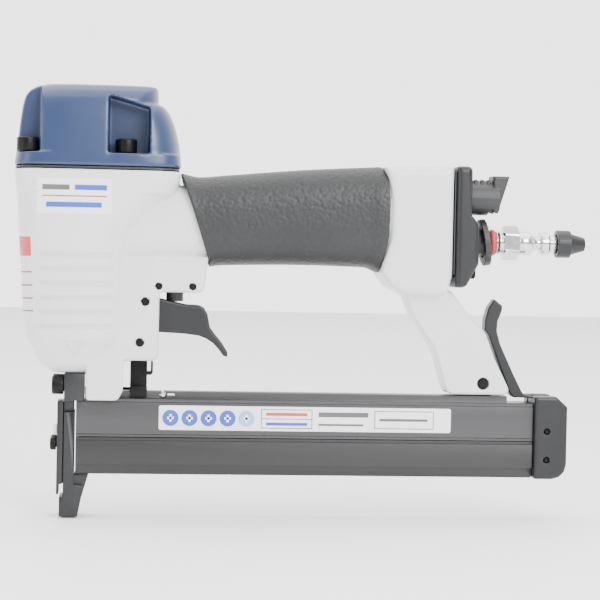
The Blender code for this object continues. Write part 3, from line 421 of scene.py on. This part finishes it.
def press(piece, distance, depth, blend, box_xz, inner_y):
    """Moves the side walls inside a flat outline in or out by a depth, with soft shoulders."""
    x0, x1, z0, z1 = box_xz
    moves = []
    for vertex in piece.data.vertices:
        x, y, z = vertex.co / MM
        if x0 < x < x1 and z0 < z < z1 and abs(y) > inner_y and vertex.normal.y * y > 0.3:
            share = min(1.0, max(0.0, 0.5 - distance(x, z) / blend))
            if share:
                share = share * share * (3 - 2 * share)
                moves.append((vertex, vertex.normal.copy() * (depth * MM * share)))
    for vertex, move in moves:
        vertex.co -= move


def housing():
    """The painted casting, with cooling grooves, a raised triangle and softened edges."""
    low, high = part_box("main_housing")
    gasket_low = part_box("cap_gasket")[0][2] / MM
    front, rear, half, top = low[0] / MM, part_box("cylinder_cap")[1][0] / MM, high[1] / MM, gasket_low - 0.3
    piece = solid_copy("main_housing", "housing_casting")
    skin = barrel_skin(front, rear, half, top)
    both = bmesh.new()
    both.from_mesh(piece.data)
    both.from_mesh(skin.data)
    both.to_mesh(piece.data)
    both.free()
    bpy.data.objects.remove(skin, do_unlink=True)
    soften(piece, 0.5, 10)
    for index in range(GROOVES):
        middle_z = GROOVE_LOW + GROOVE_PITCH * index

        def groove(x, z, middle_z=middle_z):
            return slot_distance(x, z, 1.9, middle_z, 29.4, 1.7)

        press(piece, groove, 1.25, 0.9, (-15, 19, middle_z - 3, middle_z + 3), 8.0)
    outer = [(-3.2, 71.2), (2.0, 62.8), (7.2, 71.2)]

    def triangle_line(x, z):
        return abs(triangle_distance(x, z, outer) + 0.9) - 0.45

    press(piece, triangle_line, -0.7, 0.5, (-6, 10, 60, 74), 6.0)
    piece.data.shade_smooth()
    return finish_piece(piece, "main_housing")


def cap():
    """The blue cap, a smooth flat-topped dome with a lower rear step and four screw recesses."""
    box_low, box_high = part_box("cylinder_cap")
    low, top = box_low[2] / MM, box_high[2] / MM
    front, rear, half = box_low[0] / MM, box_high[0] / MM, box_high[1] / MM
    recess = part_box("cap_screw_1")[1][2] / MM - 5.7
    levels = [
        (low, front, 33.3, half),
        (recess + 4.3, front + 1.0, 33.3, half - 0.5),
        (top - 13.8, front + 1.9, 33.3, half - 1.3),
        (top - 6.0, front + 3.2, 33.3, half - 2.9),
        (top - 2.8, front + 5.0, 33.2, half - 4.7),
        (top - 0.8, front + 8.2, 33.0, half - 7.5),
        (top, front + 10.7, 32.7, half - 9.7),
    ]
    dome = [
        (low, 0, rear, half),
        (top - 23.9, 0, rear - 0.6, half - 0.4),
        (top - 17.8, 1, rear - 1.9, half - 1.1),
        (top - 12.2, 2, rear - 3.9, half - 2.1),
        (top - 8.2, 3, rear - 6.4, half - 3.7),
        (top - 5.8, 4, rear - 10.5, half - 5.9),
    ]
    flange = [(low + 0.01, front, rear, half), (recess, front + 0.6, rear - 0.3, half - 0.3)]
    piece = new_object("head_cap", column(levels, 3.2))
    fuse(piece, column(dome, 3.0), column(flange, 5.0))
    for x, y in screw_places():
        side = math.copysign(1, y)
        inner, outer = sorted((y - side * 5.0, side * 30))
        begin, end, roof = (front - 8, x + 5, top + 2) if x < 0 else (x - 7, x + 9.2, top - 4.3)
        slope = 4.5 if x > 0 else 0
        outline = [(begin, recess), (end, recess), (end, roof - slope), (begin, roof)]
        cut(piece, prism(outline, inner, outer))
        cut(piece, screw_hole(x, y, low - 2, recess + 2))
    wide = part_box("head_valve")[1][0] / MM + 0.4
    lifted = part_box("head_valve")[1][2] / MM - 0.5
    chamber = [(low - 2, 0), (low - 2, wide), (lifted, wide), (lifted, 9.4), (156.0, 9.4), (156.0, 0)]
    cut(piece, turned(chamber))
    cut(piece, box(-4, rear - 6.5, -8.0, 8.0, low - 2, top - 16.3))
    soften(piece, 0.42, 14)
    return finish_piece(piece, "cylinder_cap")


def grip():
    """The rubber sleeve, with a fine pebble pressed into its outside."""
    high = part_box("grip_sleeve")[1]
    wall = high[1] / MM - 1.0
    top = high[2] / MM
    stations = [
        (41.0, 97.4, 137.0, wall + 1.0), (50.0, 98.8, 135.5, wall + 0.4), (60.0, 100.4, 136.4, wall + 0.2),
        (92.0, 101.1, 139.4, wall), (116.5, 100.7, 141.0, wall + 0.2), (123.0, 98.4, top - 0.3, wall + 0.6),
        (128.0, 97.6, top, wall + 0.6),
    ]
    piece = new_object("grip_rubber", beam(stations, 2.6))
    core = [
        (15, 101.2, 129.6, 12.4), (82, 103.1, 135.3, 12.4), (120, 104.1, 138.5, 12.4),
        (135.0, 104.6, 139.9, 12.4),
    ]
    cut(piece, beam(core, 2.4, grow=0.3))
    front = [
        (20.0, 150.0), (40.6, 150.0), (41.3, 143.0), (42.9, 136.0), (46.0, 126.0), (50.6, 112.0),
        (55.4, 97.4), (57.5, 90.0), (20.0, 90.0),
    ]
    cut(piece, prism(front, -30, 30))
    rear = [(123.2, 141.1), (125.2, 136.0), (125.9, 127.0), (125.6, 113.0), (122.4, 98.4)]
    rear = [(123.6, 150.0)] + [(x - 0.3, z) for x, z in rear] + [(120.5, 90.0), (150.0, 90.0), (150.0, 150.0)]
    cut(piece, prism(rear, -30, 30))
    cut(piece, box(30, 54.3, -11.3, 11.3, 85, 104.3))
    soften(piece, 0.32, 6)
    pebble = bpy.data.textures.new("grip_pebble", "VORONOI")
    pebble.noise_scale = 0.0014
    pebble.distance_metric = "DISTANCE_SQUARED"
    press_in = piece.modifiers.new("pebble", "DISPLACE")
    press_in.texture = pebble
    press_in.texture_coords = "LOCAL"
    press_in.strength = -0.00022
    press_in.mid_level = 0.15
    apply_modifiers(piece)
    piece.data.shade_smooth()
    return finish_piece(piece, "grip_sleeve")


def mouldings():
    """Plastic and rubber pieces whose CAD outline is right and whose edges are rounded here."""
    settings = {
        "handle_end_cap": (0.3, 6),
        "magazine_end_cap": (0.28, 5),
        "trigger": (0.22, 6),
        "release_lever": (0.2, 6),
        "exhaust_deflector": (0.2, 3),
        "front_plate_clip": (0.1, 4),
    }
    for node, (voxel, passes) in settings.items():
        piece = solid_copy(node, f"{node}_skin")
        soften(piece, voxel, passes)
        finish_piece(piece, node)


# ---------------------------------------------------------------- magazine

def magazine():
    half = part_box("magazine_fixed")[1][1] / MM
    upper = solid_copy("magazine_fixed", "magazine_channel")
    for z in (33.0, 45.8):
        for side in (-1, 1):
            line = [(side * (half + 1), z - 0.35), (side * (half - 0.3), z), (side * (half + 1), z + 0.35)]
            cut(upper, prism(line, -5, 200, "X"))
    edge_radii(upper, 0.22)
    finish_piece(upper, "magazine_fixed")
    lower = solid_copy("magazine_slide", "magazine_tray")
    for side in (-1, 1):
        cut(lower, prism([(side * (half + 1), 30.2), (side * (half - 0.3), 30.55), (side * (half + 1), 30.9)],
                         -5, 200, "X"))
        cut(lower, prism([(side * 8.1, 21.0), (side * 6.6, 16.5), (side * 9.5, 16.5), (side * 9.5, 21.0)],
                         -5, 200, "X"))
    edge_radii(lower, 0.3)
    finish_piece(lower, "magazine_slide", "anodised_dark")


# ---------------------------------------------------------------- screws, pins, fittings

def hex_prism(across, low, high, axis, centre):
    radius = across / math.sqrt(3)
    return turned([(low, 0), (low, radius), (high, radius), (high, 0)], axis, centre, 6)


def socket_screws():
    """Socket-head screws with a hexagon socket and broken edges."""
    groups = (
        ("cap_screw_{}", (1, 2, 3, 4), "Z", 1, 4.25, 5.4, 4.0),
        ("nose_upper_screw_{}", ("left", "right"), "X", -1, 3.65, 4.6, 3.0),
        ("nose_lower_screw_{}", ("left", "right"), "X", -1, 2.6, 2.4, 2.0),
        ("end_cap_screw_{}", ("left", "right"), "X", 1, 2.4, 1.8, 2.0),
    )
    for pattern, keys, axis, way, radius, height, key_size in groups:
        for key in keys:
            node = pattern.format(key)
            low, high = (tuple(part / MM for part in corner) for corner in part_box(node))
            place = {"X": 0, "Z": 2}[axis]
            centre = [(a + b) / 2 for a, b in zip(low, high)]
            top = (high if way > 0 else low)[place]
            centre[place] = top - way * height
            end = (low if way > 0 else high)[place] - centre[place]
            shank = radius * 0.5
            profile = [
                (end, 0), (end, shank - 0.3), (end - way * -0.3, shank), (0, shank), (0, radius - 0.25),
                (way * 0.25, radius), (way * (height - 0.5), radius), (way * height, radius - 0.45),
                (way * height, 0),
            ]
            piece = new_object(f"{node}_detail", turned(profile, axis, centre, 48))
            low_cut, high_cut = sorted((way * height * 0.45, way * (height + 1)))
            cut(piece, hex_prism(key_size, low_cut, high_cut, axis, centre))
            edge_radii(piece, 0.12, 2, 40)
            finish_piece(piece, node)


def round_pieces():
    """Turned pieces made again with fine facets and broken edges."""
    for node in ("trigger_pin", "valve_pin_front", "valve_pin_rear", "safety_guide_pin", "leg_cross_screw",
                 "end_cap_pin_1", "end_cap_pin_2", "lever_pin", "rib_stop_pin"):
        low, high = (tuple(part / MM for part in corner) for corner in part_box(node))
        radius = (high[0] - low[0]) / 2
        centre = ((low[0] + high[0]) / 2, 0, (low[2] + high[2]) / 2)
        half = high[1]
        profile = [
            (-half, 0), (-half, radius * 0.75), (-half + radius * 0.25, radius),
            (half - radius * 0.25, radius), (half, radius * 0.75), (half, 0),
        ]
        piece = new_object(f"{node}_detail", turned(profile, "Y", centre, 40))
        piece.data.shade_smooth()
        piece.data.set_sharp_from_angle(angle=math.radians(40))
        finish_piece(piece, node)


def air_fitting():
    """The nickel air plug with its hexagon, thread and waist, and the seals around it."""
    low, high = (tuple(part / MM for part in corner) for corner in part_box("air_plug"))
    axis_z = (low[2] + high[2]) / 2
    centre = (0, 0, axis_z)
    start = low[0]
    profile = [(0, 1.8), (0, 3.1), (9.2, 3.1), (9.2, 4.2)]
    for turn in range(4):
        base = 9.4 + 1.05 * turn
        profile += [(base, 4.5), (base + 0.5, 5.0), (base + 1.0, 4.5)]
    profile += [(14.1, 4.6), (21.4, 4.6), (21.7, 4.8), (25.9, 4.8), (26.4, 4.4), (28.0, 3.0), (30.2, 2.8)]
    profile += [(30.6, 4.3), (30.9, 4.6), (33.5, 4.6), (33.9, 4.2), (34.3, 3.55), (38.7, 3.55), (38.7, 1.8)]
    body = [(start + along, radius) for along, radius in profile]
    piece = new_object("air_plug_detail", turned(body, "X", centre, 72))
    hexagon = hex_prism(12.1, start + 14.9, start + 21.2, "X", centre)
    limit = [(14.5, 0), (14.5, 6.0), (15.4, 6.95), (20.7, 6.95), (21.6, 6.0), (21.6, 0)]
    corners = turned([(start + along, radius) for along, radius in limit], "X", centre, 72)
    nut = new_object("plug_hexagon", hexagon)
    join(nut, corners, "INTERSECT")
    edge_radii(nut, 0.15, 2)
    edge_radii(piece, 0.08, 2, 40)
    finish_piece(piece, "air_plug")
    finish_piece(nut, "air_plug", hides=False)
    low, high = (tuple(part / MM for part in corner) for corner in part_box("inlet_seal_ring"))
    middle, wide = (low[0] + high[0]) / 2, (high[0] - low[0]) / 2
    rim = high[2] - axis_z
    section = [(middle + wide * math.cos(2 * math.pi * step / 20),
                rim - wide + wide * math.sin(2 * math.pi * step / 20)) for step in range(20)]
    seal = new_object("inlet_seal_detail", turned(section, "X", centre, 72))
    seal.data.shade_smooth()
    finish_piece(seal, "inlet_seal_ring")


def soft_rings():
    """Rubber pieces round the inlet and the plug."""
    for node, voxel in (("dust_cap", 0.22), ("inlet_bushing", 0.25), ("collar_ring", 0.22)):
        piece = solid_copy(node, f"{node}_skin")
        soften(piece, voxel, 5)
        finish_piece(piece, node)


def machined_pieces():
    """Steel pieces that keep their CAD outline and get broken edges."""
    settings = (
        ("nose_body", 0.25), ("nose_front_plate", 0.3), ("safety_yoke", 0.2), ("safety_link", 0.25),
        ("staple_rail", 0.2), ("pusher", 0.3),
    )
    for node, width in settings:
        piece = solid_copy(node, f"{node}_detail")
        edge_radii(piece, width)
        finish_piece(piece, node)


def inner_pieces():
    """The pieces that keep their CAD shape get their finished surfaces."""
    for node, piece in NODES.items():
        if piece.get("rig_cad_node") and node in SLOT_OF:
            piece.data.materials.clear()
            piece.data.materials.append(FINISHES[SLOT_OF[node]])


# ---------------------------------------------------------------- labels

def panel(name, corners, y, thick, look, node, radius=0.8):
    """A thin flat label on the magazine's flank, with rounded corners."""
    x0, x1, z0, z1 = corners
    points = []
    for cx, cz, start in ((x1 - radius, z0 + radius, -90), (x1 - radius, z1 - radius, 0),
                          (x0 + radius, z1 - radius, 90), (x0 + radius, z0 + radius, 180)):
        for step in range(7):
            angle = math.radians(start + 15 * step)
            points.append((cx + radius * math.cos(angle), cz + radius * math.sin(angle)))
    low, high = sorted((y, y + math.copysign(thick, y)))
    piece = new_object(name, prism(points, low, high))
    finish_piece(piece, node, look, hides=False)


def label_mark(name, corners, side, out, look):
    """A raised rectangle of ink on the magazine's label."""
    x0, x1, z0, z1 = corners
    low, high = sorted((out, out + side * INK_THICK))
    ink = box(x0, x1, low, high, z0, z1)
    finish_piece(new_object(name, ink), "magazine_fixed", look, hides=False)


def label_frame(name, corners, side, out, line=0.3):
    """Four thin lines round a field of the label."""
    x0, x1, z0, z1 = corners
    sides = (
        (x0, x1, z0, z0 + line), (x0, x1, z1 - line, z1),
        (x0, x0 + line, z0, z1), (x1 - line, x1, z0, z1),
    )
    for index, edge in enumerate(sides):
        label_mark(f"{name}_{index}", edge, side, out, "label_grey")


def magazine_labels():
    """A white strip with plain round dots and empty framed fields on each flank."""
    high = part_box("magazine_fixed")[1]
    for side, tag in ((-1, "left"), (1, "right")):
        flank = side * high[1] / MM
        strip = (35.4, 152.4, 34.9, 44.6)
        panel(f"magazine_label_{tag}", strip, flank, 0.12, "label_white", "magazine_fixed")
        out = flank + side * 0.1
        for index in range(5):
            x = 40.0 + 7.55 * index
            disc = [(out, 0), (out, 3.2), (out + side * 0.12, 3.2), (out + side * 0.12, 0)]
            piece = new_object(f"dot_{tag}_{index}", turned(disc, "Y", (x, 0, 39.7), 40))
            finish_piece(piece, "magazine_fixed", "label_pale" if index == 4 else "label_blue", hides=False)
            mark = out + side * 0.1
            label_mark(f"dot_bar_{tag}_{index}", (x - 1.3, x + 1.3, 39.2, 40.2), side, mark, "label_white")
            label_mark(f"dot_post_{tag}_{index}", (x - 0.5, x + 0.5, 38.2, 41.2), side, mark, "label_white")
        label_frame(f"field_a_{tag}", (76.0, 96.5, 35.9, 43.6), side, out)
        label_mark(f"field_a_line_{tag}", (76.0, 96.5, 39.6, 39.9), side, out, "label_grey")
        label_mark(f"field_a_red_{tag}", (78.0, 94.5, 41.0, 42.2), side, out, "label_red")
        label_mark(f"field_a_blue_{tag}", (78.0, 94.5, 37.1, 38.3), side, out, "label_blue")
        label_mark(f"field_b_{tag}", (99.0, 119.0, 40.7, 42.6), side, out, "label_grey")
        label_mark(f"field_b_thin_{tag}", (99.0, 117.0, 37.2, 38.0), side, out, "label_grey")
        label_frame(f"field_c_{tag}", (121.5, 145.5, 36.2, 43.4), side, out)
        label_mark(f"field_c_bar_{tag}", (123.5, 143.0, 39.3, 40.3), side, out, "label_grey")


def wrapped_label(name, target, corners, look, node, side=-1, thick=0.12, steps=40, lift=0.0, around=None):
    """A thin label that lies on a curved wall: a grid pressed against the wall, then given its thickness."""
    x0, x1, z0, z1 = corners
    shape = bmesh.new()
    rows = max(4, int(steps * (z1 - z0) / (x1 - x0)))
    grid = []
    for row in range(rows + 1):
        z = z0 + (z1 - z0) * row / rows
        line = []
        for step in range(steps + 1):
            share = x0 + (x1 - x0) * step / steps
            if around is None:
                line.append(shape.verts.new((share, side * 40.0, z)))
            else:
                angle = math.radians(share)
                line.append(shape.verts.new((around * math.sin(angle), -around * math.cos(angle), z)))
        grid.append(line)
    for row in range(rows):
        for step in range(steps):
            this, above = grid[row], grid[row + 1]
            shape.faces.new((this[step], this[step + 1], above[step + 1], above[step]))
    piece = new_object(name, shape)
    wrap = piece.modifiers.new("wrap", "SHRINKWRAP")
    wrap.target = target
    if around is None:
        wrap.wrap_method = "PROJECT"
        wrap.use_project_y = True
        wrap.use_negative_direction = side > 0
        wrap.use_positive_direction = side < 0
    wrap.offset = (0.06 + lift) * MM
    thicken = piece.modifiers.new("thickness", "SOLIDIFY")
    thicken.thickness = thick * MM
    thicken.offset = 0
    apply_modifiers(piece)
    piece.data.shade_smooth()
    piece.data.set_sharp_from_angle(angle=math.radians(50))
    return finish_piece(piece, node, look, hides=False)


def housing_labels(casting):
    """Plain panels where the tool has printed ones: two on its sides and one on the barrel's front."""
    for side, tag in ((-1, "left"), (1, "right")):
        field = (-13.6, 15.4, 119.4, 133.0)
        wrapped_label(f"type_label_{tag}", casting, field, "label_white", "main_housing", side)
        marks = (
            ("grey", (-11.5, -1.0, 128.6, 130.6), "label_grey"),
            ("blue", (1.0, 13.4, 128.6, 130.6), "label_blue"),
            ("red", (-11.5, 13.4, 126.0, 126.5), "label_red"),
            ("low", (-10.0, 11.5, 121.9, 123.9), "label_blue"),
        )
        for name, corners, look in marks:
            wrapped_label(f"type_{name}_{tag}", casting, corners, look, "main_housing", side, lift=0.1)
    wrapped_label("front_label", casting, (-86, -42, 74.6, 111.0), "label_pink", "main_housing", around=30.0)
    wrapped_label("front_label_head", casting, (-82, -46, 102.0, 109.6), "label_red", "main_housing",
                  around=30.0, lift=0.1)
    for index in range(4):
        z = 80.0 + 5.2 * index
        line = (-82, -46, z, z + 0.5)
        wrapped_label(f"front_label_line_{index}", casting, line, "label_grey", "main_housing",
                      around=30.0, lift=0.1)


# ---------------------------------------------------------------- stage

def area(name, place, aim, size, power):
    """A rectangular soft light at a place, turned to its aim."""
    light = bpy.data.lights.new(name, "AREA")
    light.shape = "RECTANGLE"
    light.size, light.size_y = size
    light.energy = power
    lamp = bpy.data.objects.new(name, light)
    lamp.location = place
    lamp.rotation_euler = (Vector(aim) - Vector(place)).to_track_quat("-Z", "Y").to_euler()
    bpy.context.scene.collection.objects.link(lamp)


def stage():
    """A pale floor, a world that is brighter behind the tool than before it, and three soft lights."""
    floor = new_object("floor", box(-3000, 3000, -3000, 3000, -6.0, -0.6))
    paint = finish("floor_paint", (0.9, 0.9, 0.9), 0.6, speckle=0.01, grain=40, bump=0.02)
    floor.data.materials.append(paint)
    world = bpy.data.worlds.new("soft_studio")
    world.use_nodes = True
    world.node_tree.nodes["Background"].inputs["Color"].default_value = (1, 1, 1, 1)
    tree = world.node_tree
    place = tree.nodes.new("ShaderNodeTexCoord")
    split = tree.nodes.new("ShaderNodeSeparateXYZ")
    level = tree.nodes.new("ShaderNodeMapRange")
    level.interpolation_type = "SMOOTHSTEP"
    level.inputs["From Min"].default_value = -0.6
    level.inputs["From Max"].default_value = 0.8
    level.inputs["To Min"].default_value = WORLD_FRONT
    level.inputs["To Max"].default_value = WORLD_BACK
    tree.links.new(place.outputs["Generated"], split.inputs["Vector"])
    tree.links.new(split.outputs["Y"], level.inputs["Value"])
    tree.links.new(level.outputs["Result"], tree.nodes["Background"].inputs["Strength"])
    bpy.context.scene.world = world
    middle = (0.09, 0, 0.09)
    area("key", (0.45, -0.85, 0.55), middle, (0.5, 0.4), 12.0)
    area("side", (-0.9, -0.5, 0.25), middle, (0.4, 0.6), 2.5)
    area("ceiling", (0.1, -0.4, 2.6), (0.1, 0.0, 0.0), (4.5, 3.5), 160.0)


def camera():
    """Looks at the middle of the object from a little ahead of its left side and a little above."""
    azimuth, elevation, roll = math.radians(-5.62), math.radians(1.21), math.radians(1.16)
    distance, focal = 0.7795, 1935.0
    middle = Vector((0.0915, 0, 0.0871))
    back = Vector((math.sin(azimuth) * math.cos(elevation), -math.cos(azimuth) * math.cos(elevation),
                   math.sin(elevation)))
    data = bpy.data.cameras.new("camera")
    data.sensor_width = 36.0
    data.lens = focal * data.sensor_width / PICTURE_WIDTH
    data.clip_start = 0.01
    view = bpy.data.objects.new("camera", data)
    turn = (-back).to_track_quat("-Z", "Y").to_matrix().to_4x4() @ Matrix.Rotation(roll, 4, "Z")
    view.matrix_world = Matrix.Translation(middle + back * distance) @ turn
    bpy.context.scene.collection.objects.link(view)
    bpy.context.scene.camera = view


inner_pieces()
casting = housing()
cap()
grip()
mouldings()
magazine()
socket_screws()
round_pieces()
air_fitting()
soft_rings()
machined_pieces()
magazine_labels()
housing_labels(casting)
stage()
camera()
